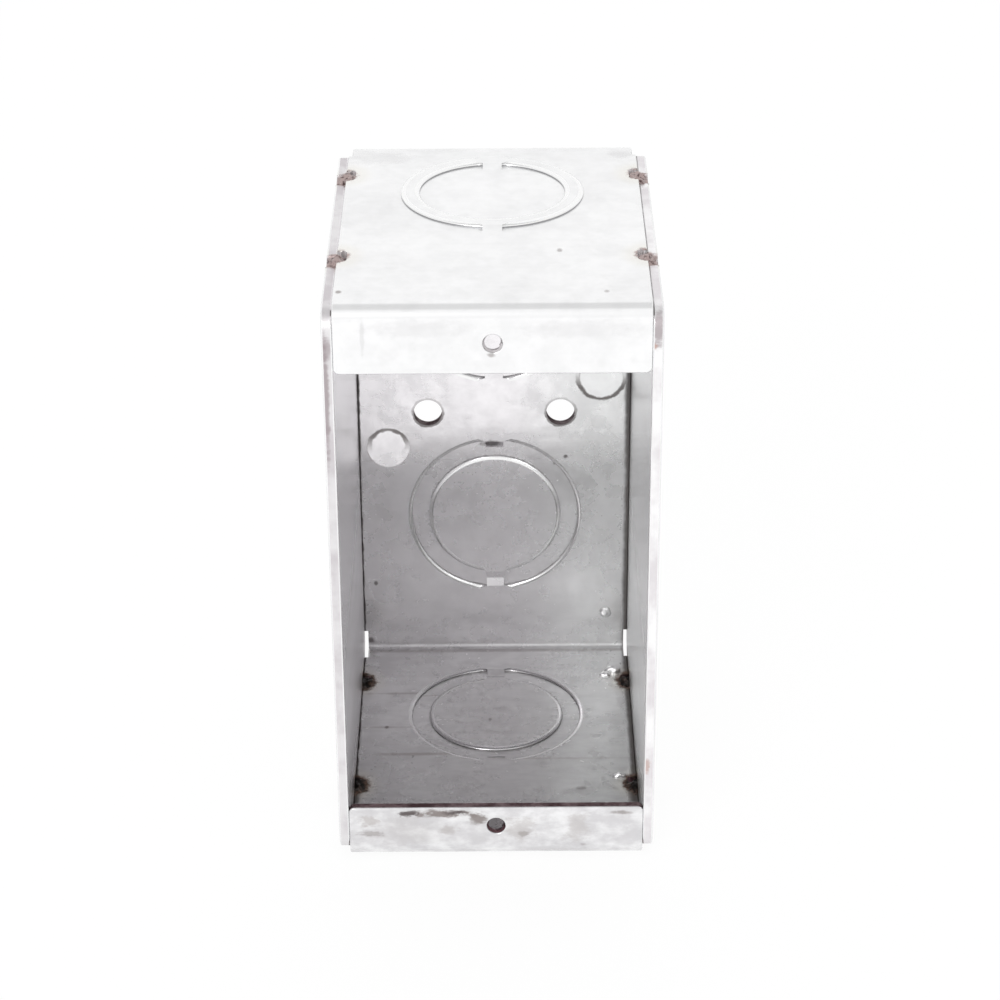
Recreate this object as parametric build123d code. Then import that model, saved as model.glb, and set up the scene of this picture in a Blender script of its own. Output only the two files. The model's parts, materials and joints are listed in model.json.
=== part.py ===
import os
from math import asin, degrees, sqrt

from build123d import *

# Folded strip, mm: top, back, bottom and the two front lips
box_height = 95.25           # outside of the top to the outside of the bottom
box_depth = 63.5             # front of the lips to the outside of the back
gang_width = 46.04           # width of the strip
sheet = 1.59                 # thickness of all the sheet
bend_inner_radius = 0.8
relief_depth = 0.6           # the strip is narrower at its two back bends
relief_reach = 4.8           # how far that runs from the corner along each wall

# Front lips and the tapped holes for the device screws
top_lip_height = 10.75
bottom_lip_height = 9.4
lip_corner_radius = 0.9
device_hole_diameter = 2.85
device_hole_from_end = 5.955  # outside of the top or bottom to the hole

# Concentric knockouts: the ring stands proud outside, the disc stays level
disc_diameter = 22.6
ring_width = 2.85
ring_rise = 0.5
top_knockout_from_back = 20.8
bottom_knockout_from_back = 23.3
back_knockout_spacing = 40.1
back_knockout_lift = 0.45    # middle of that pair above the middle of the back
tie_width = 3.0
tie_run = 1.3                # length of the slope on each tie

# Small holes and hinged pry-outs in the back
mounting_hole_diameter = 4.8
mounting_hole_spacing = 22.4
pry_out_diameter = 7.3
pry_out_from_edge = 5.0
pry_out_from_middle = 6.6
pry_out_lift = 0.8

# Side plates
side_plate_step = 0.8        # their edges lie this far below the strip's faces
side_corner_radius = 3.5

# Tack welds along the four long seams
weld_from_front = 18.2
weld_from_back = 13.2
weld_notch_length = 4.2
weld_notch_depth = 1.5       # into the strip's edge
weld_notch_radius = 0.9
weld_crater_depth = 0.9      # into the side plate's edge
bead_radius = 1.1
bead_core_length = 1.0       # straight part between the bead's tapered ends
bead_tip_radius = 0.6
bead_tip_length = 0.8
bead_setback = 1.2           # bead's centre below the strip's outer face
bead_from_edge = 0.35        # bead's centre inside the strip's edge
bead_shift = 0.5             # bead's centre towards the front of its notch

# The origin is under the middle of the box, level with the bottom ring
front = -(box_depth + pry_out_lift) / 2
back = front + box_depth
bottom = ring_rise
top = bottom + box_height
middle_height = (bottom + top) / 2
strip_edge = gang_width / 2
weld_rows = (front + weld_from_front, back - weld_from_back)

disc_radius = disc_diameter / 2
ring_radius = disc_radius + ring_width
inner_face = -sheet          # depth below an outer face


def folded_strip():
    outer = RectangleRounded(box_depth, box_height, bend_inner_radius + sheet)
    inner = RectangleRounded(box_depth - 2 * sheet, box_height - 2 * sheet, bend_inner_radius)
    mouth_height = box_height - top_lip_height - bottom_lip_height
    mouth_centre = (bottom_lip_height - top_lip_height) / 2
    mouth = Pos(-box_depth / 2, mouth_centre) * Rectangle(box_depth, mouth_height)
    profile = Pos((front + back) / 2, middle_height) * (outer - inner - mouth)
    strip = extrude(Plane.YZ * profile, gang_width / 2, both=True)
    lip_edges = strip.edges().filter_by(Axis.Y).filter_by_position(
        Axis.Z, bottom + bend_inner_radius + sheet, top - bend_inner_radius - sheet
    )
    strip = fillet(lip_edges, lip_corner_radius)
    for side in (-1, 1):
        for end in (bottom, top):
            corner = Pos(side * strip_edge, back, end)
            strip -= corner * Box(2 * relief_depth, 2 * relief_reach, 2 * relief_reach)
    return strip


# A face plane lies on an outer face: z points outwards, and y points from a
# knockout's centre to the tie of its disc
def top_face(y):
    return Plane((0, y, top), x_dir=(1, 0, 0), z_dir=(0, 0, 1))


def bottom_face(y):
    return Plane((0, y, bottom), x_dir=(-1, 0, 0), z_dir=(0, 0, -1))


def back_face(x, z, facing_up):
    return Plane((x, back, z), x_dir=(-facing_up, 0, 0), z_dir=(0, 1, 0))


def tie(face, points, toward=1):
    section = Plane(face.origin, x_dir=face.y_dir * toward, z_dir=face.x_dir * toward)
    return extrude(section * make_face(Polyline(*points, close=True)), tie_width / 2, both=True)


def ring_tie(face, toward):
    chord = sqrt(ring_radius**2 - (tie_width / 2) ** 2)
    step = inner_face + ring_rise
    inside = [(chord - tie_run, step), (chord, inner_face), (ring_radius, inner_face), (ring_radius, step)]
    outside = [(chord, 0), (chord, ring_rise), (ring_radius, ring_rise), (ring_radius + tie_run, 0)]
    return tie(face, inside, toward) + tie(face, outside, toward)


def disc_tie(face):
    chord = sqrt(disc_radius**2 - (tie_width / 2) ** 2)
    step = inner_face + ring_rise
    inside = [(chord, step), (chord, inner_face), (disc_radius, inner_face), (disc_radius + tie_run, step)]
    outside = [(chord - tie_run, 0), (chord, ring_rise), (disc_radius, ring_rise), (disc_radius, 0)]
    return tie(face, inside) + tie(face, outside)


def add_knockout(strip, face):
    ring = Circle(ring_radius) - Circle(disc_radius)
    strip -= extrude(face.offset(inner_face) * ring, ring_rise)
    strip += extrude(face * ring, ring_rise)
    for toward in (-1, 1):
        strip += ring_tie(face, toward)
    return strip + disc_tie(face)


# A pry-out is a disc that is tied on one side and pushed out of the sheet on
# the other, outwards where the lift is positive
def add_pry_out(strip, face, lift):
    radius = pry_out_diameter / 2
    tilt = degrees(asin(lift / pry_out_diameter))
    plug = face * Pos(0, 0, inner_face / 2) * Cylinder(radius, 2 * (sheet + pry_out_lift))
    hinge = face * Pos(0, -radius, inner_face / 2) * Rot(X=tilt)
    slab = hinge * Pos(0, radius, 0) * Box(2 * pry_out_diameter, 2 * pry_out_diameter, sheet)
    return strip - plug + (plug & slab)


def drill(strip, face, diameter):
    return strip - face * Pos(0, 0, inner_face / 2) * Cylinder(diameter / 2, 2 * sheet)


def make_body():
    strip = folded_strip()
    strip = add_knockout(strip, top_face(back - top_knockout_from_back))
    strip = add_knockout(strip, bottom_face(back - bottom_knockout_from_back))
    for up in (-1, 1):
        rise = back_knockout_lift + up * back_knockout_spacing / 2
        strip = add_knockout(strip, back_face(0, middle_height + rise, up))
    for side in (-1, 1):
        hole = back_face(side * mounting_hole_spacing / 2, middle_height, 1)
        strip = drill(strip, hole, mounting_hole_diameter)
        pry_out_x = side * (strip_edge - pry_out_from_edge)
        pry_out = back_face(pry_out_x, middle_height + side * pry_out_from_middle, -side)
        strip = add_pry_out(strip, pry_out, -side * pry_out_lift)
    for z in (bottom + device_hole_from_end, top - device_hole_from_end):
        lip = Plane((0, front, z), x_dir=(1, 0, 0), z_dir=(0, -1, 0))
        strip = drill(strip, lip, device_hole_diameter)
    notch = RectangleRounded(2 * weld_notch_depth, weld_notch_length, weld_notch_radius)
    for side in (-1, 1):
        for y in weld_rows:
            for face in (top_face(y), bottom_face(y)):
                edge = face.offset(-2 * sheet) * Pos(side * strip_edge, 0)
                strip -= extrude(edge * notch, 4 * sheet)
    return strip


def make_side_plate(side):
    depth = box_depth - side_plate_step
    height = box_height - 2 * side_plate_step
    outline = Pos(front + depth / 2, middle_height) * RectangleRounded(depth, height, side_corner_radius)
    crater = Ellipse(weld_notch_length / 2, weld_crater_depth)
    for y in weld_rows:
        for end in (-1, 1):
            outline -= Pos(y, middle_height + end * height / 2) * crater
    inner = Plane.YZ.offset(side * strip_edge)
    return extrude(inner * outline, side * sheet)


def bead():
    core = bead_core_length / 2
    tip = core + bead_tip_length
    half = [(0, -tip), (bead_tip_radius, -tip), (bead_radius, -core)]
    outline = half + [(x, -y) for x, y in reversed(half)]
    return revolve(make_face(Polyline(*outline, close=True)), Axis.Y)


def make_tack_welds(solids):
    beads = []
    for side in (-1, 1):
        for y in weld_rows:
            for z in (bottom + bead_setback, top - bead_setback):
                place = Pos(side * (strip_edge - bead_from_edge), y - bead_shift, z)
                beads.append(place * bead() - solids)
    return beads


body = make_body()
left_side_plate = make_side_plate(-1)
right_side_plate = make_side_plate(1)
tack_welds = make_tack_welds([body, left_side_plate, right_side_plate])

os.makedirs("parts", exist_ok=True)
export_step(body, "parts/folded_body.step")
export_step(left_side_plate, "parts/left_side_plate.step")
export_step(right_side_plate, "parts/right_side_plate.step")
export_step(Compound(children=tack_welds), "parts/tack_welds.step")
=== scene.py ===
import json
import math

import bmesh
import bpy
from mathutils import Matrix, Vector, noise


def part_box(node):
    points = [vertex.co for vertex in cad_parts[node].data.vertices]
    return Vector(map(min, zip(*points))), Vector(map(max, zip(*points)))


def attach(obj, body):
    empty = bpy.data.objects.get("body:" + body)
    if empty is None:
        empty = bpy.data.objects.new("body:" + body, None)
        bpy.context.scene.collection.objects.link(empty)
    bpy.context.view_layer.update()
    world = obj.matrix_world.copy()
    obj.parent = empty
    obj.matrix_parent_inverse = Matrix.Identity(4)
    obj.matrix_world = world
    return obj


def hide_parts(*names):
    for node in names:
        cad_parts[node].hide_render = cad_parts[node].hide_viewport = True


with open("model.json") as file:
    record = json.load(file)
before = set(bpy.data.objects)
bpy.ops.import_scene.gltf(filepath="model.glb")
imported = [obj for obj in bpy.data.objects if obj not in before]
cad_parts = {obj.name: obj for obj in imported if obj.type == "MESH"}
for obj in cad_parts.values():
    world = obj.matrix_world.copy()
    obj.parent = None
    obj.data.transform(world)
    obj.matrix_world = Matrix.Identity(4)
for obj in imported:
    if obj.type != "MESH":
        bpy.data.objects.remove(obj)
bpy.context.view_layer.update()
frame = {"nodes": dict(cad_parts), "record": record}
nodes = frame["nodes"]
mounts = {mount["name"]: mount for mount in frame["record"]["mounts"]}
mm = 0.001

# sizes of the box in mm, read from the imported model
stripLow, stripHigh = (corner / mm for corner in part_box("folded_body"))
plateLow, plateHigh = (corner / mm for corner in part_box("left_side_plate"))
sideStep = 0.8                                  # side plates end this far inside the strip's faces
box = dict(
    edge=stripHigh.x,                           # half width of the folded strip
    sheet=plateHigh.x - plateLow.x,
    front=stripLow.y,
    back=plateHigh.y + sideStep,
    bottom=plateLow.z - sideStep,
    top=plateHigh.z + sideStep,
    bend=2.4,                                   # outside radius of the folds
)
box["middle"] = (box["bottom"] + box["top"]) / 2
box["halfHeight"] = (box["top"] - box["bottom"]) / 2
box["innerBack"] = box["back"] - box["sheet"]
box["innerBottom"] = box["bottom"] + box["sheet"]
knockouts = [mount for name, mount in mounts.items() if name.endswith("knockout")]
step = dict(rise=0.5, reach=15.6, slack=0.001)  # raised ring of a knockout, with its ties
mountingHole = dict(across=mounts["wall_screws"]["dims"]["spacing_x_mm"] / 2, reach=2.6)
pryOut = dict(across=box["edge"] - 5.0, up=6.6, radius=3.65, reach=4.4)  # left one down, right one up
weld = dict(
    rows=(box["front"] + 18.2, box["back"] - 13.2),
    setback=0.95,                               # bead's centre below the outer face
    fromEdge=0.3,                               # bead's centre inside the strip's edge
    forward=0.5,
    size=(1.35, 1.75, 0.95),
    lowScale=1.2,                               # the lower beads are larger
    lump=0.42,
    grain=1.1,
    notchDepth=1.7,                             # notch in the strip's edge, with some room
    notchHalf=2.09,
)
print("box sizes in mm", {name: round(value, 2) for name, value in box.items()})


# camera: looks down into the box from the front
camera = dict(sensor=36, lens=105.2, pitch=28.10, yaw=0.04, roll=-0.36)
camera["place"] = Vector((1.2, box["front"] - 380.25, box["bottom"] + 266.95)) * mm


def setCamera():
    data = bpy.data.cameras.new("photoCamera")
    data.sensor_width = camera["sensor"]
    data.lens = camera["lens"]
    item = bpy.data.objects.new("photoCamera", data)
    bpy.context.scene.collection.objects.link(item)
    turn = Matrix.Rotation(math.radians(camera["yaw"]), 4, "Z")
    turn = turn @ Matrix.Rotation(math.radians(90 - camera["pitch"]), 4, "X")
    turn = turn @ Matrix.Rotation(math.radians(camera["roll"]), 4, "Z")
    item.matrix_world = Matrix.Translation(camera["place"]) @ turn
    bpy.context.scene.camera = item


setCamera()
print("camera set")


# short ways to write shader nodes
def plug(tree, value, socket):
    if isinstance(value, bpy.types.NodeSocket):
        tree.links.new(value, socket)
    else:
        socket.default_value = value


def addNode(tree, kind, inputs=(), **settings):
    node = tree.nodes.new(kind)
    for name, value in settings.items():
        setattr(node, name, value)
    for key, value in dict(inputs).items():
        plug(tree, value, node.inputs[key])
    return node


def calc(tree, operation, *values, clamp=False):
    node = addNode(tree, "ShaderNodeMath", operation=operation, use_clamp=clamp)
    for value, socket in zip(values, node.inputs):
        plug(tree, value, socket)
    return node.outputs[0]


def vectorCalc(tree, operation, first, second):
    return addNode(tree, "ShaderNodeVectorMath", {0: first, 1: second}, operation=operation).outputs[0]


def ramp(tree, value, start, end, low=0.0, high=1.0):
    node = addNode(tree, "ShaderNodeMapRange", interpolation_type="SMOOTHSTEP")
    for item, socket in zip((value, start, end, low, high), node.inputs):
        plug(tree, item, socket)
    return node.outputs[0]


# from the first value to the second as the mask goes from 0 to 1
def blend(tree, mask, first, second):
    return ramp(tree, mask, 0.0, 1.0, first, second)


def tint(tree, factor, first, second, mode="MIX"):
    node = addNode(tree, "ShaderNodeMix", data_type="RGBA", blend_type=mode)
    plug(tree, factor, node.inputs[0])
    plug(tree, first, node.inputs[6])           # 6 and 7 are the colour sockets
    plug(tree, second, node.inputs[7])
    return node.outputs[2]


def grey(value):
    return (value, value, value, 1)


def cloud(tree, place, size, detail=3.0, rough=0.55):
    sockets = {"Vector": place, "Scale": 1 / size, "Detail": detail, "Roughness": rough}
    return addNode(tree, "ShaderNodeTexNoise", sockets).outputs["Fac"]


# a cloud as a value that swings to both sides of 0
def wobble(tree, place, swing, size, detail=3.0, rough=0.55):
    return calc(tree, "MULTIPLY_ADD", cloud(tree, place, size, detail, rough), 2 * swing, -swing)


# a pattern is the size, detail and roughness of a cloud, with the two levels that cut patches out of it
def pattern(size, detail, rough, cut):
    return dict(size=size, detail=detail, rough=rough, cut=cut)


def patternCloud(tree, place, look):
    return cloud(tree, place, look["size"], look["detail"], look["rough"])


def patches(tree, place, look):
    return ramp(tree, patternCloud(tree, place, look), *look["cut"])


def stretch(tree, place, scale):
    return addNode(tree, "ShaderNodeMapping", {"Vector": place, "Scale": scale}).outputs[0]


def placeInMm(tree):
    coordinates = addNode(tree, "ShaderNodeTexCoord").outputs["Object"]
    return stretch(tree, coordinates, (1 / mm, 1 / mm, 1 / mm))


def split(tree, vector):
    return addNode(tree, "ShaderNodeSeparateXYZ", {"Vector": vector}).outputs[:]


def offCentre(tree, value, centre):
    return calc(tree, "ABSOLUTE", calc(tree, "SUBTRACT", value, centre))


def length(tree, x, y, z=0.0):
    vector = addNode(tree, "ShaderNodeCombineXYZ", {"X": x, "Y": y, "Z": z}).outputs[0]
    return addNode(tree, "ShaderNodeVectorMath", {0: vector}, operation="LENGTH").outputs["Value"]


def newGroup(name, inputs, outputs):
    tree = bpy.data.node_groups.new(name, "ShaderNodeTree")
    for direction, sockets in (("INPUT", inputs), ("OUTPUT", outputs)):
        for label, kind in sockets.items():
            tree.interface.new_socket(label, in_out=direction, socket_type="NodeSocket" + kind)
    source = tree.nodes.new("NodeGroupInput")
    result = tree.nodes.new("NodeGroupOutput")
    return tree, source.outputs, result.inputs


def useGroup(tree, group, inputs=()):
    return addNode(tree, "ShaderNodeGroup", inputs, node_tree=group).outputs


# zinc coat: soft clouds, blotches, fine mottle, faint crystals, rolling lines and a few specks
zincLook = dict(
    streak=pattern(1.4, 3.0, 0.6, (0.36, 0.66)),
    streakScale=(0.33, 1.0, 0.75),
    mottle=pattern(3.4, 3.0, 0.55, (0.4, 0.64)),
    wide=pattern(17, 4.0, 0.6, (0.32, 0.68)),
    fine=pattern(2.2, 2.5, 0.55, (0.3, 0.7)),
    line=pattern(1.0, 2.0, 0.5, (0.3, 0.7)),
    speck=pattern(0.9, 1.0, 0.55, (0.70, 0.76)),
    blotch=pattern(6.5, 3.5, 0.62, (0.53, 0.63)),
    crystalSize=2.5,
    share=dict(wide=0.50, fine=0.34, blotch=-0.22, crystal=0.08, line=0.08, speck=0.15),
    dullRough=0.27,
    paleRough=0.16,
    swell=4.0,                                  # height of the wide clouds against the fine ones
)


def makeZincCoat():
    inputs = {"Stretch": "Vector", "Grain": "Vector", "Pale": "Color", "Dull": "Color"}
    outputs = {"Color": "Color"}
    outputs.update({label: "Float" for label in ("Roughness", "Height", "Streak", "Mottle")})
    tree, source, result = newGroup("zincCoat", inputs, outputs)
    share = zincLook["share"]
    place = vectorCalc(tree, "MULTIPLY", placeInMm(tree), source["Stretch"])
    along = stretch(tree, place, zincLook["streakScale"])
    plug(tree, patches(tree, along, zincLook["streak"]), result["Streak"])
    plug(tree, patches(tree, place, zincLook["mottle"]), result["Mottle"])
    wide = patternCloud(tree, place, zincLook["wide"])
    fine = patternCloud(tree, place, zincLook["fine"])
    crystals = addNode(tree, "ShaderNodeTexVoronoi", {"Vector": place, "Scale": 1 / zincLook["crystalSize"]})
    crystal = split(tree, crystals.outputs["Color"])[0]
    line = patternCloud(tree, vectorCalc(tree, "MULTIPLY", place, source["Grain"]), zincLook["line"])
    speck = patches(tree, place, zincLook["speck"])
    blotch = patches(tree, place, zincLook["blotch"])
    tone = calc(tree, "MULTIPLY", ramp(tree, wide, *zincLook["wide"]["cut"]), share["wide"])
    tone = calc(tree, "MULTIPLY_ADD", ramp(tree, fine, *zincLook["fine"]["cut"]), share["fine"], tone)
    tone = calc(tree, "MULTIPLY_ADD", blotch, share["blotch"], tone)
    tone = calc(tree, "MULTIPLY_ADD", crystal, share["crystal"], tone)
    tone = calc(tree, "MULTIPLY_ADD", ramp(tree, line, *zincLook["line"]["cut"]), share["line"], tone)
    tone = calc(tree, "SUBTRACT", tone, calc(tree, "MULTIPLY", speck, share["speck"]), clamp=True)
    plug(tree, tint(tree, tone, source["Dull"], source["Pale"]), result["Color"])
    plug(tree, blend(tree, tone, zincLook["dullRough"], zincLook["paleRough"]), result["Roughness"])
    plug(tree, calc(tree, "MULTIPLY_ADD", wide, zincLook["swell"], fine), result["Height"])
    return tree


# how much a spot is inside the box
insideZone = dict(side=0.6, front=0.7, back=0.6, end=0.6, soft=0.3)


def makeInside():
    tree, _, result = newGroup("insideBox", {}, {"Mask": "Float"})
    x, y, z = split(tree, placeInMm(tree))
    fromSide = calc(tree, "SUBTRACT", box["edge"] + insideZone["side"], calc(tree, "ABSOLUTE", x))
    fromFront = calc(tree, "SUBTRACT", y, box["front"] + insideZone["front"])
    fromBack = calc(tree, "SUBTRACT", box["back"] - insideZone["back"], y)
    halfInside = box["halfHeight"] - insideZone["end"]
    fromEnd = calc(tree, "SUBTRACT", halfInside, offCentre(tree, z, box["middle"]))
    fromMouth = calc(tree, "MINIMUM", fromSide, fromFront)
    fromWalls = calc(tree, "MINIMUM", fromBack, fromEnd)
    deep = calc(tree, "MINIMUM", fromMouth, fromWalls)
    plug(tree, ramp(tree, deep, 0.0, insideZone["soft"]), result["Mask"])
    return tree


# heat of the tack welds: a burnt crust, paler on top of the box, and a yellowish bloom around it
heatLook = dict(
    outward=0.1,                                # its middle past the strip's edge
    setback=0.8,                                # and below the outer face
    along=0.85,
    uneven=dict(swing=0.9, size=1.0, detail=3.0, rough=0.6),
    change=5,                                   # from low to high round the middle of the box
    crustFrom=(3.1, 2.5),                       # low and high
    crustTo=(2.2, 1.7),
    bloom=(5.0, 2.4),
    bloomUneven=0.6,
    # the black core of the lower welds is burnt metal and painted shadow in their open notches
    core=(2.5, 1.6),
    fleck=pattern(0.62, 3.0, 0.6, (0.52, 0.64)),
    highColours=((0.50, 0.40, 0.385, 1), (0.12, 0.075, 0.075, 1)),
    lowColours=((0.20, 0.13, 0.10, 1), (0.05, 0.03, 0.024, 1)),
    coreColour=(0.014, 0.010, 0.008, 1),
)


def makeWeldHeat():
    tree, _, result = newGroup("weldHeat", {}, {"Crust": "Float", "Bloom": "Float", "Color": "Color"})
    place = placeInMm(tree)
    x, y, z = split(tree, place)
    firstRow, secondRow = weld["rows"]
    across = calc(tree, "SUBTRACT", calc(tree, "ABSOLUTE", x), box["edge"] + heatLook["outward"])
    fromRows = offCentre(tree, y, (firstRow + secondRow) / 2)
    along = calc(tree, "SUBTRACT", fromRows, (secondRow - firstRow) / 2)
    fromMiddle = offCentre(tree, z, box["middle"])
    deep = calc(tree, "SUBTRACT", fromMiddle, box["halfHeight"] - heatLook["setback"])
    reach = length(tree, across, calc(tree, "MULTIPLY", along, heatLook["along"]), deep)
    uneven = wobble(tree, place, **heatLook["uneven"])
    ragged = calc(tree, "ADD", reach, uneven)
    high = ramp(tree, z, box["middle"] - heatLook["change"], box["middle"] + heatLook["change"])
    crustFrom = blend(tree, high, *heatLook["crustFrom"])
    crustTo = blend(tree, high, *heatLook["crustTo"])
    plug(tree, ramp(tree, ragged, crustFrom, crustTo), result["Crust"])
    bloomReach = calc(tree, "MULTIPLY_ADD", uneven, heatLook["bloomUneven"], reach)
    plug(tree, ramp(tree, bloomReach, *heatLook["bloom"]), result["Bloom"])
    fleck = patches(tree, place, heatLook["fleck"])
    pale = tint(tree, fleck, *heatLook["highColours"])
    # painted shadow: the core of the lower welds goes black
    core = ramp(tree, ragged, *heatLook["core"])
    burnt = tint(tree, fleck, *heatLook["lowColours"])
    burnt = tint(tree, core, burnt, heatLook["coreColour"])
    plug(tree, tint(tree, high, burnt, pale), result["Color"])
    return tree


# dirt and painted shade along the seams between the strip and the side plates, reaching into the inner
# corners
seamLook = dict(
    cornerReach=9.0,
    edgeSlack=0.03,
    uneven=dict(swing=0.8, size=2.6, detail=3.0, rough=0.6),
    ragged=0.45,
    full=0.3,                                   # share of the reach that is fully dark with dirt and painted shade
)


def makeSeamDirtAndShade():
    tree, source, result = newGroup("seamDirtAndShade", {"Reach": "Float"}, {"Mask": "Float"})
    place = placeInMm(tree)
    x, y, z = split(tree, place)
    toEdge = calc(tree, "SUBTRACT", box["edge"], calc(tree, "ABSOLUTE", x))
    toBack = offCentre(tree, y, box["innerBack"])
    fromMiddle = offCentre(tree, z, box["middle"])
    toEnd = offCentre(tree, fromMiddle, box["halfHeight"] - box["sheet"])
    # painted shade: the side plates darken near the inner corners at the back and the ends
    corner = calc(tree, "MINIMUM", toBack, toEnd)
    besideEdge = calc(tree, "ABSOLUTE", toEdge)
    corner = calc(tree, "MINIMUM", corner, seamLook["cornerReach"])
    onPlates = calc(tree, "MAXIMUM", besideEdge, corner)
    isStrip = calc(tree, "GREATER_THAN", toEdge, seamLook["edgeSlack"])
    stripPart = calc(tree, "MULTIPLY", isStrip, toEdge)
    platePart = calc(tree, "MULTIPLY", calc(tree, "SUBTRACT", 1.0, isStrip), onPlates)
    gap = calc(tree, "ADD", stripPart, platePart)
    uneven = wobble(tree, place, **seamLook["uneven"])
    gap = calc(tree, "MULTIPLY_ADD", uneven, seamLook["ragged"], gap)
    full = calc(tree, "MULTIPLY", source["Reach"], seamLook["full"])
    plug(tree, ramp(tree, gap, source["Reach"], full), result["Mask"])
    return tree


# one soft-edged mark, in an oval round its centre
markLook = dict(
    scale=(0.55, 1, 1),
    uneven=dict(swing=2.0, size=1.2, detail=4.0, rough=0.68),
    edge=(1.3, 0.45),
)


def makeSoftMark():
    inputs = {"Centre": "Vector", "Half": "Vector", "Ragged": "Float"}
    tree, source, result = newGroup("mark", inputs, {"Mask": "Float"})
    place = placeInMm(tree)
    away = vectorCalc(tree, "SUBTRACT", place, source["Centre"])
    away = vectorCalc(tree, "DIVIDE", away, source["Half"])
    x, y, z = split(tree, away)
    share = length(tree, x, y, z)
    uneven = wobble(tree, stretch(tree, place, markLook["scale"]), **markLook["uneven"])
    share = calc(tree, "MULTIPLY_ADD", uneven, source["Ragged"], share)
    plug(tree, ramp(tree, share, *markLook["edge"]), result["Mask"])
    return tree


# shade along the pry-outs, above the one that leans out of the box and below the one that leans in, and
# round the screw holes
shadeLook = dict(
    uneven=dict(swing=0.35, size=1.1, detail=2.0),
    shift=(-0.4, 0.3),                          # off the rim, for leaning out and in
    band=(0.62, 0.25),
    fade=(-0.35, 0.6),                          # share of the radius
    rim=0.3,
    rimFade=(2.2, -1.5),
    rimShare=(0.35, 0.9),                       # above and below the hole
    depth=1.0,
)


def makePryOutShade():
    tree, _, result = newGroup("pryOutShade", {}, {"Mask": "Float"})
    place = placeInMm(tree)
    x, y, z = split(tree, place)
    leansIn = calc(tree, "GREATER_THAN", x, 0.0)
    turn = calc(tree, "MULTIPLY_ADD", leansIn, 2.0, -1.0)
    across = calc(tree, "SUBTRACT", calc(tree, "ABSOLUTE", x), pryOut["across"])
    along = calc(tree, "SUBTRACT", z, calc(tree, "MULTIPLY_ADD", turn, pryOut["up"], box["middle"]))
    reach = length(tree, across, along)
    shadeSide = calc(tree, "MULTIPLY", along, calc(tree, "MULTIPLY", turn, -1.0))
    shadeSide = calc(tree, "DIVIDE", shadeSide, pryOut["radius"])
    uneven = wobble(tree, place, **shadeLook["uneven"])
    shadeRadius = blend(tree, leansIn, *(pryOut["radius"] + shift for shift in shadeLook["shift"]))
    fromRim = calc(tree, "ADD", offCentre(tree, reach, shadeRadius), uneven)
    band = ramp(tree, fromRim, *shadeLook["band"])
    band = calc(tree, "MULTIPLY", band, ramp(tree, shadeSide, *shadeLook["fade"]))
    isBack = calc(tree, "GREATER_THAN", y, box["innerBack"] - shadeLook["depth"])
    fromHole = calc(tree, "SUBTRACT", calc(tree, "ABSOLUTE", x), mountingHole["across"])
    above = calc(tree, "SUBTRACT", z, box["middle"])
    holeReach = calc(tree, "ADD", length(tree, fromHole, above), uneven)
    rim = ramp(tree, holeReach, mountingHole["reach"] + shadeLook["rim"], mountingHole["reach"])
    rim = calc(tree, "MULTIPLY", rim, ramp(tree, above, *shadeLook["rimFade"], *shadeLook["rimShare"]))
    plug(tree, calc(tree, "MULTIPLY", calc(tree, "MAXIMUM", band, rim), isBack), result["Mask"])
    return tree


zincCoat = makeZincCoat()
insideBox = makeInside()
weldHeat = makeWeldHeat()
seamDirtAndShade = makeSeamDirtAndShade()
softMark = makeSoftMark()
pryOutShade = makePryOutShade()
print("shared finishes ready")


def newMaterial(name, **values):
    material = bpy.data.materials.new(name)
    material.use_nodes = True
    tree = material.node_tree
    shader = tree.nodes["Principled BSDF"]
    for label, value in values.items():
        shader.inputs[label].default_value = value
    return material, tree, shader


def addBump(tree, shader, height, depth, strength):
    bump = addNode(tree, "ShaderNodeBump", {"Height": height, "Distance": depth * mm, "Strength": strength})
    plug(tree, bump.outputs[0], shader.inputs["Normal"])


def addGrain(tree, shader, place, look):
    addBump(tree, shader, cloud(tree, place, look["grain"]), look["bumpDepth"], look["bump"])


# marks: the colours below serve stains and painted shade alike, and onTop and the like say which face they
# lie on
greyStainAndShade = (0.62, 0.61, 0.62, 1)
brownStainAndShade = (0.27, 0.235, 0.225, 1)
tanMark = (0.50, 0.465, 0.45, 1)
darkStainAndShade = (0.12, 0.10, 0.10, 1)
mauveMark = (0.36, 0.30, 0.315, 1)
rustMark = (0.50, 0.30, 0.24, 1)
markDepth = dict(outside=1.2, inside=1.0, edge=2.0)


def newMark(at, half, strength, colour, ragged):
    return dict(at=at, half=half, strength=strength, colour=colour, ragged=ragged)


def onTop(x, y, halfX, halfY, strength, colour, ragged=0.5):
    return newMark((x, y, box["top"]), (halfX, halfY, markDepth["outside"]), strength, colour, ragged)


def onLip(x, z, halfX, halfZ, strength, colour, ragged=0.5):
    return newMark((x, box["front"], z), (halfX, markDepth["outside"], halfZ), strength, colour, ragged)


def onBottom(x, y, halfX, halfY, strength, colour, ragged=0.5):
    return newMark((x, y, box["innerBottom"]), (halfX, halfY, markDepth["inside"]), strength, colour, ragged)


def onBack(x, z, halfX, halfZ, strength, colour, ragged=0.5):
    return newMark((x, box["innerBack"], z), (halfX, markDepth["inside"], halfZ), strength, colour, ragged)


def onPlate(side, out, z, halfOut, halfZ, strength, colour, ragged=0.4):
    place = (side * (box["edge"] + out), box["front"], z)
    return newMark(place, (halfOut, markDepth["edge"], halfZ), strength, colour, ragged)


def addMarks(tree, colour, marks):
    for one in marks:
        inputs = {"Centre": one["at"], "Half": one["half"], "Ragged": one["ragged"]}
        mask = useGroup(tree, softMark, inputs)["Mask"]
        colour = tint(tree, calc(tree, "MULTIPLY", mask, one["strength"]), colour, one["colour"])
    return colour


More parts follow.
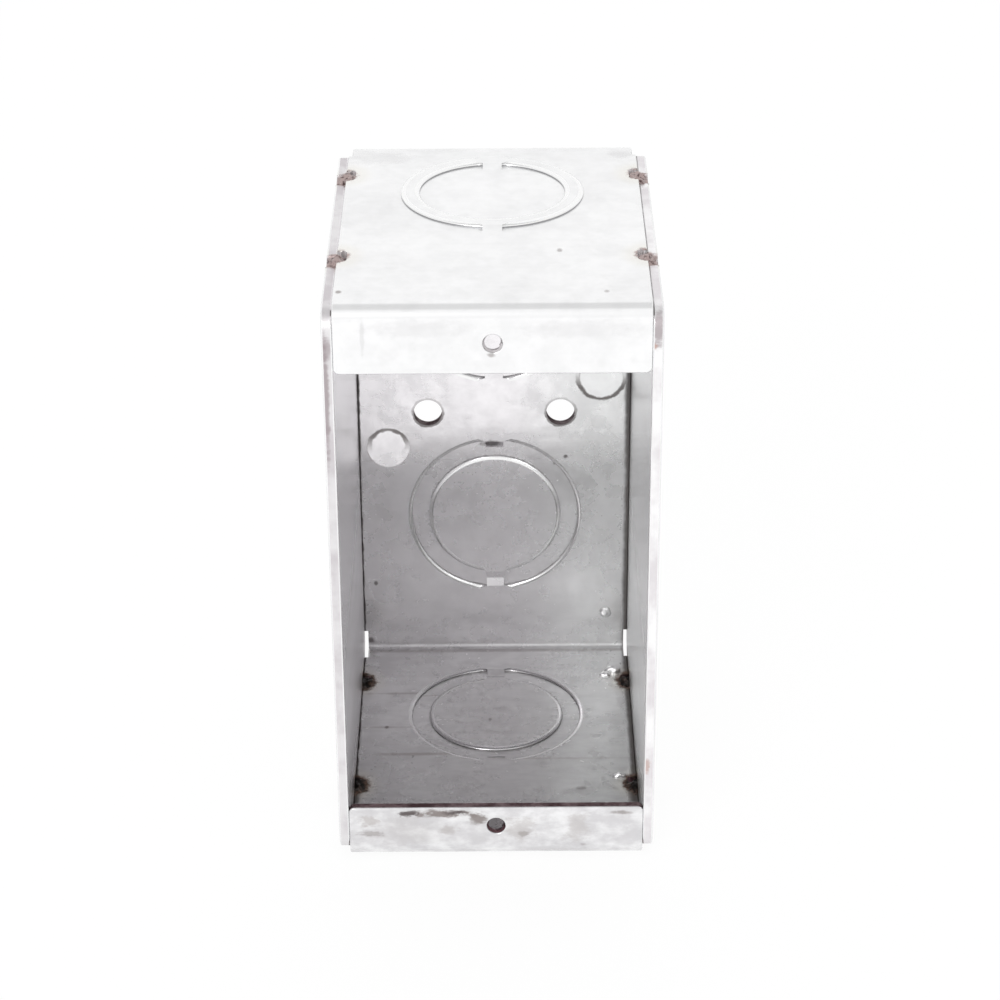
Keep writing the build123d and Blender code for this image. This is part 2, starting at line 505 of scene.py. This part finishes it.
stripMarks = [
    onTop(-22.2, -26.9, 0.45, 0.6, 0.75, brownStainAndShade, 0.3),
    onTop(16.5, -27.2, 0.4, 0.5, 0.5, brownStainAndShade, 0.3),
    onTop(10.0, -12.2, 0.4, 0.7, 0.6, brownStainAndShade, 0.3),
    # painted shade: two grey patches at the back edge of the top
    onTop(-17.7, 25.2, 5.0, 2.6, 0.3, greyStainAndShade),
    onTop(20.4, 26.5, 2.2, 1.8, 0.35, greyStainAndShade),
    onLip(-10.8, 92.1, 7.6, 1.4, 0.22, greyStainAndShade),
    onLip(12.5, 92.0, 8.6, 1.4, 0.22, greyStainAndShade),
    onLip(-18.7, 90.5, 0.3, 3.0, 0.35, greyStainAndShade),
    onLip(-0.2, 88.0, 0.6, 0.4, 0.6, brownStainAndShade),
    onLip(-7.9, 8.8, 5.5, 0.7, 0.95, brownStainAndShade, 0.8),
    onLip(-13.6, 8.9, 1.5, 0.5, 0.95, darkStainAndShade, 0.7),
    onLip(-6.2, 9.0, 1.8, 0.4, 0.9, darkStainAndShade, 0.7),
    onLip(-14.0, 5.5, 6.0, 2.5, 0.2, tanMark, 0.6),
    onLip(-20.0, 7.5, 1.8, 1.0, 0.6, tanMark, 0.9),
    onLip(-19.4, 5.2, 2.2, 0.5, 0.5, brownStainAndShade, 0.9),
    onLip(-7.5, 5.5, 1.4, 0.8, 0.5, tanMark, 0.9),
    onLip(-2.9, 7.7, 1.4, 1.1, 0.9, brownStainAndShade, 0.5),
    onLip(4.5, 5.0, 0.8, 0.5, 0.65, brownStainAndShade, 0.7),
    onLip(3.9, 5.9, 2.3, 1.8, 0.45, tanMark, 0.8),
    onLip(12.9, 6.1, 2.1, 2.4, 0.42, tanMark, 0.8),
    onLip(19.7, 8.9, 1.6, 0.4, 0.7, brownStainAndShade, 0.6),
    onLip(13.7, 2.9, 0.6, 0.3, 0.4, brownStainAndShade),
    # painted shadow on the bottom behind the lower lip
    onBottom(0, -24.5, 4.5, 4.5, 0.48, darkStainAndShade, 0.3),
    # painted shade over the middle of the bottom
    onBottom(1, 1, 15, 24, 0.2, darkStainAndShade, 0.15),
    # painted shadow along the fold at the back of the bottom
    onBottom(0, 28.4, 40, 0.55, 0.45, brownStainAndShade, 0.15),
    onBottom(-14.8, 14.3, 8.2, 0.35, 0.5, brownStainAndShade, 0.4),
    onBottom(-18.4, 3.6, 4.2, 0.35, 0.45, brownStainAndShade, 0.4),
    onBottom(-14.0, -4.7, 7.8, 0.45, 0.55, brownStainAndShade, 0.4),
    onBottom(9.4, -6.2, 12.4, 0.35, 0.35, brownStainAndShade, 0.4),
    onBottom(-18.4, 3.6, 0.4, 0.5, 0.8, darkStainAndShade, 0.3),
    onBottom(-1.0, 5.9, 0.3, 0.5, 0.7, darkStainAndShade, 0.3),
    onBottom(13.9, -15.1, 0.9, 0.4, 0.6, darkStainAndShade, 0.6),
    onBack(-0.6, 42.1, 1.8, 0.7, 0.75, darkStainAndShade, 0.5),
    onBack(12.1, 39.7, 0.35, 0.35, 0.8, darkStainAndShade, 0.3),
    onBack(10.2, 38.1, 0.3, 0.3, 0.7, darkStainAndShade, 0.3),
    onBack(-20.8, 15.1, 0.35, 0.45, 0.8, darkStainAndShade, 0.3),
    onBack(-22.0, 3.6, 0.7, 0.6, 0.8, darkStainAndShade, 0.4),
]
plateMarks = [
    onPlate(-1, 1.15, 81, 0.5, 10, 0.75, mauveMark),
    onPlate(-1, 0.9, 89, 0.8, 2.2, 0.6, mauveMark),
    onPlate(1, 0.8, 92.5, 1.0, 3.6, 0.75, mauveMark),
    onPlate(1, 0.2, 89.2, 0.5, 0.5, 0.7, rustMark),
    onPlate(1, 0.4, 17.4, 0.5, 1.2, 0.55, rustMark, 0.8),
]

# where the finish of the sheets changes, mm
zone = dict(
    leftToRight=(-3, 3),                        # x, for the dirt and painted shade of the seams
    toRight=(0, 19),                            # x, for the film and the painted side light
    filmAndShadeBack=(-26, 20),                         # y
    filmAndShadeUp=(2, 25),                             # z
    bottomToBack=(5, 14),                       # z
    metalUp=(29, 47),                           # z
    lowSeam=(14, 10),                           # z, for the thicker dirt and painted shade near the lower lip
    frontSeam=tuple(box["front"] + depth for depth in (23, 17)),
    lowLip=(13, 10),                            # z
    lip=tuple(box["front"] + depth for depth in (4, 2)),
)
stripFinish = dict(
    stretch=(1, 1, 1),
    grain=(0.02, 1.4, 1.4),                     # rolling lines run across the strip
    pale=(0.975, 0.975, 0.98, 1),
    dull=(0.85, 0.85, 0.855, 1),
    metal=0.7,                                  # the rest is a dull oxide film
    innerMetal=(0.42, 0.96),                    # low down and high up inside the box
    filmAndShade=(0.55, 0.82),                          # grey film and painted shade inside: front and back of the bottom
    paintedSideLight=(1.03, 1.11),                      # painted light: lighter to the right
    filmTint=((1.0, 0.98, 0.995, 1), (0.995, 1.0, 0.995, 1)),
    innerPale=0.65,
    streak=(0.3, 0.05),                         # on the bottom and on the back
    mottle=(0.08, 0.16),
    filmPattern=(0.66, 0.65, 0.66, 1),
    lipDarkening=(0.76, 0.75, 0.76, 1),
    lipPatch=pattern(3.2, 5.0, 0.66, (0.3, 0.62)),
    lipScale=(0.55, 1, 1),
    innerRough=(0.19, 0.30),                    # of the pale and the dull zinc
    bump=0.2,
    bumpDepth=0.05,
    bloom=(0.84, 0.80, 0.70, 1),
    bloomShare=0.35,
    # dark colour of the seam dirt and of the painted shade of seams, corners and pry-outs
    dirtAndShade=(0.10, 0.085, 0.08, 1),
    dirtAndShadeShare=0.87,
    dirtAndShadeReach=(0.42, 1.3),                      # left and right seams, for dirt and painted shade
    lipDirtAndShade=0.9,                                # more near the lower lip, dirt and painted shade
    dirtRough=0.7,
    dirtMetal=0.25,
    dirtFrom=0.2,                               # thinner dirt still shines as metal
    marks=stripMarks,
)
plateFinish = dict(
    stripFinish,
    stretch=(1, 0.15, 0.8),
    grain=(0.5, 0.5, 0.3),
    dull=(0.84, 0.84, 0.845, 1),
    innerMetal=(0.45, 0.78),
    innerPale=0.92,
    streak=(0.05, 0.05),
    mottle=(0.05, 0.08),
    innerRough=(0.235, 0.255),
    bump=0.06,
    lipDarkening=grey(1),
    marks=[],
)


# grey film inside the box, streaked and mottled, darker low down, with painted shade making the bottom
# darker towards the front
def innerFilmAndShade(tree, finish, coat, x, y, z):
    toRight = ramp(tree, x, *zone["toRight"])
    # painted shade: the bottom is darker towards the front, behind the lower lip
    bottomFilmAndShade = ramp(tree, y, *zone["filmAndShadeBack"], *finish["filmAndShade"])
    filmAndShade = ramp(tree, z, *zone["filmAndShadeUp"], bottomFilmAndShade, 1.0)
    # painted light: the inside is lighter to the right
    filmAndShade = calc(tree, "MULTIPLY", filmAndShade, blend(tree, toRight, *finish["paintedSideLight"]))
    filmAndShade = calc(tree, "MINIMUM", filmAndShade, 1.0)
    filmAndShade = tint(tree, filmAndShade, grey(0), tint(tree, toRight, *finish["filmTint"]))
    for label in ("Streak", "Mottle"):
        share = ramp(tree, z, *zone["bottomToBack"], *finish[label.lower()])
        share = calc(tree, "MULTIPLY", coat[label], share)
        filmAndShade = tint(tree, share, filmAndShade, finish["filmPattern"], "MULTIPLY")
    return filmAndShade


# the outside of the lower lip darker, in patches
def lowLipDarkening(tree, finish, inside, y, z):
    lip = calc(tree, "MULTIPLY", ramp(tree, z, *zone["lowLip"]), ramp(tree, y, *zone["lip"]))
    lip = calc(tree, "MULTIPLY", lip, calc(tree, "SUBTRACT", 1.0, inside))
    patch = patches(tree, stretch(tree, placeInMm(tree), finish["lipScale"]), finish["lipPatch"])
    return calc(tree, "MULTIPLY", lip, patch)


def makeZinc(name, finish):
    material, tree, shader = newMaterial(name)
    x, y, z = split(tree, placeInMm(tree))
    coatInputs = {label: finish[label.lower()] for label in ("Stretch", "Grain", "Pale", "Dull")}
    coat = useGroup(tree, zincCoat, coatInputs)
    heat = useGroup(tree, weldHeat)
    inside = useGroup(tree, insideBox)["Mask"]
    reach = ramp(tree, x, *zone["leftToRight"], *finish["dirtAndShadeReach"])
    nearLip = calc(tree, "MULTIPLY", ramp(tree, y, *zone["frontSeam"]), ramp(tree, z, *zone["lowSeam"]))
    reach = calc(tree, "MULTIPLY_ADD", nearLip, finish["lipDirtAndShade"], reach)
    dirtAndShade = calc(tree, "MULTIPLY", useGroup(tree, seamDirtAndShade, {"Reach": reach})["Mask"], inside)
    shade = calc(tree, "MULTIPLY", useGroup(tree, pryOutShade)["Mask"], inside)
    filmAndShade = innerFilmAndShade(tree, finish, coat, x, y, z)
    colour = tint(tree, calc(tree, "MULTIPLY", inside, finish["innerPale"]), coat["Color"], finish["pale"])
    colour = tint(tree, inside, colour, filmAndShade, "MULTIPLY")
    colour = tint(tree, lowLipDarkening(tree, finish, inside, y, z), colour, finish["lipDarkening"], "MULTIPLY")
    colour = addMarks(tree, colour, finish["marks"])
    colour = tint(tree, calc(tree, "MULTIPLY", heat["Bloom"], finish["bloomShare"]), colour, finish["bloom"])
    # painted shade: the corner shade of the seam mask and the pry-outs' shadows darken along with the seam
    # dirt
    dirtyAndShaded = calc(tree, "MULTIPLY", calc(tree, "MAXIMUM", dirtAndShade, shade), finish["dirtAndShadeShare"])
    colour = tint(tree, dirtyAndShaded, colour, finish["dirtAndShade"])
    colour = tint(tree, heat["Crust"], colour, heat["Color"])
    plug(tree, colour, shader.inputs["Base Color"])
    coatRough = coat["Roughness"]
    innerRough = ramp(tree, coatRough, zincLook["paleRough"], zincLook["dullRough"], *finish["innerRough"])
    rough = blend(tree, inside, coatRough, innerRough)
    soiled = calc(tree, "MAXIMUM", dirtAndShade, heat["Crust"])
    plug(tree, blend(tree, soiled, rough, finish["dirtRough"]), shader.inputs["Roughness"])
    innerMetal = ramp(tree, z, *zone["metalUp"], *finish["innerMetal"])
    metal = blend(tree, inside, finish["metal"], innerMetal)
    metal = ramp(tree, soiled, finish["dirtFrom"], 1.0, metal, finish["dirtMetal"])
    plug(tree, metal, shader.inputs["Metallic"])
    addBump(tree, shader, coat["Height"], finish["bumpDepth"], finish["bump"])
    return material


# cut faces of the sheet: bare steel gone maroon, lighter at the top of the box
cutFace = dict(
    tone=pattern(3.0, 4.0, 0.6, (0.35, 0.75)), lighterFrom=14, lighterTo=4, grain=0.3, bumpDepth=0.04, bump=0.5,
)
shearFinish = dict(dark=(0.09, 0.045, 0.051, 1), light=(0.31, 0.225, 0.235, 1), lighterAtTop=(0.80, 0.78, 0.79, 1))
wallFinish = dict(dark=(0.15, 0.14, 0.14, 1), light=(0.48, 0.47, 0.47, 1), lighterAtTop=(0.36, 0.36, 0.37, 1))


def makeSheared(name, finish):
    material, tree, shader = newMaterial(name, Metallic=0.9, Roughness=0.42)
    place = placeInMm(tree)
    tone = patches(tree, place, cutFace["tone"])
    colour = tint(tree, tone, finish["dark"], finish["light"])
    z = split(tree, place)[2]
    lighterAtTop = ramp(tree, z, box["top"] - cutFace["lighterFrom"], box["top"] - cutFace["lighterTo"])
    colour = tint(tree, lighterAtTop, colour, finish["lighterAtTop"])
    plug(tree, colour, shader.inputs["Base Color"])
    addGrain(tree, shader, place, cutFace)
    return material


# walls of the open screw holes: dull and dark
holeFinish = dict(
    tone=pattern(1.5, 3.0, 0.55, (0.35, 0.65)), dark=(0.075, 0.05, 0.055, 1), light=(0.22, 0.18, 0.185, 1),
)


def makeHoleWall():
    material, tree, shader = newMaterial("holeWall", Roughness=0.85)
    shader.inputs["Specular IOR Level"].default_value = 0.1
    tone = patches(tree, placeInMm(tree), holeFinish["tone"])
    plug(tree, tint(tree, tone, holeFinish["dark"], holeFinish["light"]), shader.inputs["Base Color"])
    return material


# edges of the side plates: pale, with a mauve cast and some rust, and duller at the left
edgeFinish = dict(
    tone=pattern(9.0, 4.0, 0.6, (0.38, 0.62)), dark=(0.78, 0.75, 0.77, 1), light=(0.97, 0.965, 0.97, 1),
    toLeft=(1, -1), left=(0.84, 0.83, 0.835, 1), grain=0.4, bumpDepth=0.03, bump=0.4,
)


def makePlateEdge():
    material, tree, shader = newMaterial("plateEdge", Metallic=1.0, Roughness=0.42)
    place = placeInMm(tree)
    tone = patches(tree, place, edgeFinish["tone"])
    colour = tint(tree, tone, edgeFinish["dark"], edgeFinish["light"])
    leftSide = ramp(tree, split(tree, place)[0], *edgeFinish["toLeft"])
    colour = tint(tree, leftSide, colour, edgeFinish["left"], "MULTIPLY")
    colour = addMarks(tree, colour, plateMarks)
    heat = useGroup(tree, weldHeat)
    colour = tint(tree, heat["Crust"], colour, heat["Color"])
    plug(tree, colour, shader.inputs["Base Color"])
    addGrain(tree, shader, place, edgeFinish)
    return material


# burnt crust of the welds, with a few bare patches
crustFinish = dict(
    patch=pattern(0.9, 4.0, 0.65, (0.42, 0.66)), patchShare=0.2, patchColour=grey(0.4), rough=(0.75, 0.38),
    grain=0.25, bumpDepth=0.08, bump=0.7,
)


def makeWeldCrust():
    material, tree, shader = newMaterial("weldCrust", Metallic=0.6)
    place = placeInMm(tree)
    patch = patches(tree, place, crustFinish["patch"])
    heat = useGroup(tree, weldHeat)
    bare = calc(tree, "MULTIPLY", patch, crustFinish["patchShare"])
    plug(tree, tint(tree, bare, heat["Color"], crustFinish["patchColour"]), shader.inputs["Base Color"])
    plug(tree, blend(tree, patch, *crustFinish["rough"]), shader.inputs["Roughness"])
    addGrain(tree, shader, place, crustFinish)
    return material


# burnished rims of the knockouts, duller at the bottom of the box
rimFinish = dict(up=(4, 12), low=(0.66, 0.65, 0.66, 1), high=grey(0.95))


def makeRolledZinc():
    material, tree, shader = newMaterial("rolledZinc", Metallic=0.95, Roughness=0.2)
    high = ramp(tree, split(tree, placeInMm(tree))[2], *rimFinish["up"])
    plug(tree, tint(tree, high, rimFinish["low"], rimFinish["high"]), shader.inputs["Base Color"])
    return material


stripZinc = makeZinc("stripZinc", stripFinish)
plateZinc = makeZinc("plateZinc", plateFinish)
shearedSteel = makeSheared("shearedSteel", shearFinish)
knockoutWall = makeSheared("knockoutWall", wallFinish)
holeWall = makeHoleWall()
plateEdge = makePlateEdge()
weldCrust = makeWeldCrust()
rolledZinc = makeRolledZinc()
brightZinc = newMaterial("brightZinc", **{"Base Color": grey(0.97), "Metallic": 0.9, "Roughness": 0.3})[0]
print("materials ready")


def addPiece(name, bm, materials, replaced=None):
    mesh = bpy.data.meshes.new(name)
    bm.to_mesh(mesh)
    bm.free()
    item = bpy.data.objects.new(name, mesh)
    bpy.context.scene.collection.objects.link(item)
    for material in materials:
        mesh.materials.append(material)
    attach(item, "root")
    if replaced:
        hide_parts(replaced)
    return item


# sheet pieces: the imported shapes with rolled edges, and their cut faces told apart
rolled = dict(
    edge=0.24,
    edgeSegments=3,
    knockout=0.72,
    knockoutSegments=5,
    deepen=2.2,                                 # steps are this much deeper while their rims are rounded
    roundAngle=35.0,                            # degrees: sharper edges are rounded
    hardAngle=16.0,                             # sharper ones of the rest stay hard
    flatAngle=1.0,
    mergeGap=0.002,
)
facing = 0.5                                    # share of a face's normal that says which way it looks
faceKind = dict(zinc=0, sheared=1, knockoutWall=2, holeWall=3, knockoutRim=4)  # places in the material list
edgeBand = dict(side=1.6, lip=0.1)              # cut faces in reach of the strip's edges and of the lips
knockoutArc = dict(reach=16, depth=3, slack=0.02)


def roundEdges(bm, edges, width, segments, kind):
    made = bmesh.ops.bevel(
        bm, geom=edges, offset=width * mm, offset_type="OFFSET", affect="EDGES", segments=segments,
        profile=0.5, material=-1, clamp_overlap=False, loop_slide=False, miter_outer="SHARP",
        face_strength_mode="AFFECTED",
    )
    for face in made["faces"]:
        face.material_index = faceKind[kind]
        face.smooth = True


# changes the height of the knockouts' steps, so that their rounding can reach further across than down
def scaleSteps(bm, old, new):
    for knockout in knockouts:
        axis, centre = Vector(knockout["axis"]), Vector(knockout["pos_m"])
        for vert in bm.verts:
            away = vert.co - centre
            level = away.dot(axis)
            if (away - axis * level).length > step["reach"] * mm:
                continue
            for face in (0, -box["sheet"] * mm):
                if 0 < level - face < old * step["rise"] * mm + step["slack"] * mm:
                    vert.co += axis * (level - face) * (new / old - 1)


# a merged copy of a packed sheet, with the lines inside its flat faces cleared
def sheetCopy(node):
    bm = bmesh.new()
    bm.from_mesh(nodes[node].data)
    bmesh.ops.remove_doubles(bm, verts=bm.verts, dist=rolled["mergeGap"] * mm)
    flat = math.radians(rolled["flatAngle"])
    bmesh.ops.dissolve_limit(bm, angle_limit=flat, verts=bm.verts, edges=bm.edges)
    for face in bm.faces:
        face.smooth = True
    return bm


def inPryOut(spot):
    across = abs(spot.x) - pryOut["across"]
    along = spot.z - box["middle"] - math.copysign(pryOut["up"], spot.x)
    return spot.y > 0 and math.hypot(across, along) < pryOut["reach"]


def inMountingHole(spot):
    across = abs(spot.x) - mountingHole["across"]
    return math.hypot(across, spot.z - box["middle"]) < mountingHole["reach"]


# in the notch or crater of a weld
def inNotch(spot):
    atEdge = abs(spot.x) > box["edge"] - weld["notchDepth"]
    return atEdge and min(abs(spot.y - row) for row in weld["rows"]) < weld["notchHalf"]


def stripFace(face):
    normal = face.normal
    centre = face.calc_center_median() / mm
    toBack = box["back"] - centre.y
    toFront = centre.y - box["front"]
    toEnd = min(centre.z - box["bottom"], box["top"] - centre.z)
    if toEnd < box["bend"] and min(toBack, toFront) < box["bend"]:
        return "sheared" if abs(normal.x) > facing else "zinc"
    upright = min(toBack, toFront) < toEnd
    if abs(normal.y if upright else normal.z) > facing:
        return "zinc"
    if inMountingHole(centre):
        return "holeWall"
    atEdge = abs(centre.x) > box["edge"] - edgeBand["side"]
    atLip = toFront < box["sheet"] + edgeBand["lip"]
    return "sheared" if atEdge or atLip or inPryOut(centre) else "knockoutWall"


def plateFace(face):
    return "sheared" if abs(face.normal.x) < facing else "zinc"


# an edge that keeps its distance from the middle of a knockout
def onKnockoutArc(edge):
    for knockout in knockouts:
        axis = Vector(knockout["axis"])
        away = [vert.co / mm - Vector(knockout["pos_m"]) / mm for vert in edge.verts]
        level = [spot.dot(axis) for spot in away]
        reach = [(spot - axis * depth).length for spot, depth in zip(away, level)]
        near = max(reach) < knockoutArc["reach"] and abs(level[0]) < knockoutArc["depth"]
        change = max(abs(reach[0] - reach[1]), abs(level[0] - level[1]))
        if near and change < knockoutArc["slack"]:
            return True
    return False


# how an edge is rounded: knockout, edge or not at all
def rounding(edge):
    spots = [vert.co / mm for vert in edge.verts]
    kinds = [face.material_index for face in edge.link_faces]
    if any(inPryOut(spot) or inNotch(spot) for spot in spots) or faceKind["zinc"] not in kinds:
        return None
    if faceKind["holeWall"] in kinds:
        return None
    if faceKind["knockoutWall"] in kinds:
        return "knockout" if edge.is_convex and onKnockoutArc(edge) else None
    return "edge"


def makeSheet(node, name, nameFace, materials):
    bm = sheetCopy(node)
    for face in bm.faces:
        face.material_index = faceKind[nameFace(face)]
    chains = dict(knockout=[], edge=[])
    for edge in bm.edges:
        turn = math.degrees(edge.calc_face_angle(0))
        kind = rounding(edge) if turn > rolled["roundAngle"] else None
        if kind:
            chains[kind].append(edge)
        else:
            edge.smooth = turn < rolled["hardAngle"]
    if chains["knockout"]:
        scaleSteps(bm, 1, rolled["deepen"])
        roundEdges(bm, chains["knockout"], rolled["knockout"], rolled["knockoutSegments"], "knockoutRim")
        scaleSteps(bm, rolled["deepen"], 1)
    roundEdges(bm, chains["edge"], rolled["edge"], rolled["edgeSegments"], "zinc")
    item = addPiece(name, bm, materials, node)
    flat = item.modifiers.new("flatFaces", "WEIGHTED_NORMAL")
    flat.weight = 100
    flat.keep_sharp = True
    flat.use_face_influence = True


stripMaterials = (stripZinc, shearedSteel, knockoutWall, holeWall, rolledZinc)
makeSheet("folded_body", "foldedStrip", stripFace, stripMaterials)
for side in ("left", "right"):
    makeSheet(side + "_side_plate", side + "Plate", plateFace, (plateZinc, plateEdge))
print("sheet pieces ready")


# screw threads: a ridge winding through each lip hole
thread = dict(radius=1.435, depth=0.24, pitch=0.79, base=0.34, crest=0.1, turns=1.1, steps=44)
thread["fromMiddle"] = mounts["device_screws"]["dims"]["spacing_y_mm"] / 2


def makeThreads():
    bm = bmesh.new()
    start = box["front"] + (box["sheet"] - thread["turns"] * thread["pitch"]) / 2
    outline = ((0, -thread["base"]), (thread["depth"], -thread["crest"]),
               (thread["depth"], thread["crest"]), (0, thread["base"]))
    for end in (-1, 1):
        middle = Vector((0, start, box["middle"] + end * thread["fromMiddle"]))
        ridge = [middle + Vector((thread["radius"] - rise, shift, 0)) for rise, shift in outline]
        verts = [bm.verts.new(spot * mm) for spot in ridge]
        edges = [bm.edges.new((verts[count - 1], verts[count])) for count in range(4)]
        bmesh.ops.spin(
            bm, geom=verts + edges, cent=middle * mm, axis=(0, 1, 0), angle=2 * math.pi * thread["turns"],
            dvec=(0, thread["turns"] * thread["pitch"] * mm / thread["steps"], 0), steps=thread["steps"],
        )
    bmesh.ops.holes_fill(bm, edges=bm.edges[:], sides=4)
    bmesh.ops.recalc_face_normals(bm, faces=bm.faces[:])
    addPiece("lipThreads", bm, (shearedSteel,))


makeThreads()
print("threads ready")


# a lumpy ball, the base of the welds and of the drops beside them
bead = dict(subdivisions=4, seedStep=(7.3, 3.1, 1), dimension=0.8, lacunarity=2.1, octaves=4)


def addBead(bm, centre, size, seed, lump, grain):
    ball = bmesh.ops.create_icosphere(bm, subdivisions=bead["subdivisions"], radius=1.0)["verts"]
    shift = Vector(seed * part for part in bead["seedStep"])
    for vert in ball:
        spot = Vector(part * half for part, half in zip(vert.co, size))
        swell = noise.fractal(spot / grain + shift, bead["dimension"], bead["lacunarity"], bead["octaves"])
        vert.co = (centre + spot * (1 + lump * swell)) * mm


# tack welds: eight lumpy beads burnt into the notches of the seams
def makeWelds():
    bm = bmesh.new()
    seed = 0
    across = box["edge"] - weld["fromEdge"]
    for side in (-1, 1):
        for y in weld["rows"]:
            for end, up in ((box["bottom"], 1), (box["top"], -1)):
                seed += 1
                centre = Vector((side * across, y - weld["forward"], end + up * weld["setback"]))
                scale = weld["lowScale"] if up > 0 else 1
                addBead(bm, centre, Vector(weld["size"]) * scale, seed, weld["lump"], weld["grain"])
    for face in bm.faces:
        face.smooth = True
    addPiece("tackWelds", bm, (weldCrust,), "tack_welds")


# bright zinc that ran and spattered low down at the right
spatter = dict(
    lump=0.16,
    grain=0.9,
    firstSeed=20,
    drops=[
        dict(place=(20.2, 20.9, box["innerBottom"]), size=(1.5, 0.75, 1.25)),
        dict(place=(18.9, 19.9, box["innerBottom"]), size=(1.0, 0.6, 0.6)),
        dict(place=(20.1, -11.8, box["innerBottom"]), size=(1.1, 0.6, 0.8)),
        dict(place=(19.2, box["innerBack"], 9.0), size=(1.0, 0.45, 1.1)),
    ],
)


def makeSpatter():
    bm = bmesh.new()
    for seed, drop in enumerate(spatter["drops"], spatter["firstSeed"]):
        addBead(bm, Vector(drop["place"]), Vector(drop["size"]), seed, spatter["lump"], spatter["grain"])
    for face in bm.faces:
        face.smooth = True
    addPiece("weldSpatter", bm, (brightZinc,))


makeWelds()
makeSpatter()
print("welds ready")


# white floor, mirrored brightest in front of the box
floor = dict(half=3, colour=0.9, rough=0.8, seen=1.02, mirrored=(1.08, 0.92), change=25, glow=0.9)

# studio walls: white behind, a little dimmer in front and at the sides, and grey overhead
studio = dict(
    back=1.0,
    front=0.96,
    sides=0.86,
    zenith=0.66,
    frontToBack=(-0.45, 0.35),                  # these four are ranges of a direction's y, x, z and y
    toSides=(0.55, 0.9),
    toZenith=(0.80, 0.92),
    zenithBack=(0.45, 0.15),
)
keyLight = dict(place=Vector((-0.44, -1.02, 0.58)), aim=Vector((0, 0, 0.045)), size=0.45, power=2.8)


def makeFloor():
    bm = bmesh.new()
    bmesh.ops.create_grid(bm, x_segments=1, y_segments=1, size=floor["half"])
    mesh = bpy.data.meshes.new("floor")
    bm.to_mesh(mesh)
    bm.free()
    item = bpy.data.objects.new("floor", mesh)
    bpy.context.scene.collection.objects.link(item)
    material, tree, shader = newMaterial("whiteFloor", Roughness=floor["rough"])
    shader.inputs["Base Color"].default_value = grey(floor["colour"])
    path = addNode(tree, "ShaderNodeLightPath")
    y = split(tree, placeInMm(tree))[1]
    change = box["front"] - floor["change"], box["front"] + floor["change"]
    mirrored = ramp(tree, y, *change, *floor["mirrored"])
    level = blend(tree, path.outputs["Is Glossy Ray"], floor["seen"], mirrored)
    glow = addNode(tree, "ShaderNodeEmission", {"Strength": level})
    seen = calc(tree, "MAXIMUM", path.outputs["Is Camera Ray"], path.outputs["Is Glossy Ray"])
    seen = calc(tree, "MAXIMUM", seen, path.outputs["Is Transmission Ray"])
    share = calc(tree, "MULTIPLY", seen, floor["glow"])
    mix = addNode(tree, "ShaderNodeMixShader", {0: share, 1: shader.outputs[0], 2: glow.outputs[0]})
    plug(tree, mix.outputs[0], tree.nodes["Material Output"].inputs[0])
    mesh.materials.append(material)


def makeWorld():
    world = bpy.data.worlds.new("studio")
    bpy.context.scene.world = world
    world.use_nodes = True
    tree = world.node_tree
    x, y, z = split(tree, addNode(tree, "ShaderNodeTexCoord").outputs["Generated"])
    level = ramp(tree, y, *studio["frontToBack"], studio["front"], studio["back"])
    level = ramp(tree, calc(tree, "ABSOLUTE", x), *studio["toSides"], level, studio["sides"])
    overhead = ramp(tree, z, *studio["toZenith"])
    overhead = calc(tree, "MULTIPLY", overhead, ramp(tree, y, *studio["zenithBack"]))
    level = blend(tree, overhead, level, studio["zenith"])
    path = addNode(tree, "ShaderNodeLightPath")
    seen = calc(tree, "MAXIMUM", path.outputs["Is Camera Ray"], path.outputs["Is Transmission Ray"])
    level = blend(tree, seen, level, 1.0)       # white where the camera sees it
    backdrop = tree.nodes["Background"]
    backdrop.inputs["Color"].default_value = grey(1)
    plug(tree, level, backdrop.inputs["Strength"])


def makeKeyLight():
    data = bpy.data.lights.new("keyLight", "AREA")
    data.size = keyLight["size"]
    data.energy = keyLight["power"]
    item = bpy.data.objects.new("keyLight", data)
    bpy.context.scene.collection.objects.link(item)
    turn = (keyLight["aim"] - keyLight["place"]).to_track_quat("-Z", "Y").to_matrix().to_4x4()
    item.matrix_world = Matrix.Translation(keyLight["place"]) @ turn


makeFloor()
makeWorld()
makeKeyLight()
bpy.context.scene.view_settings.view_transform = "Standard"
print("floor and light ready")
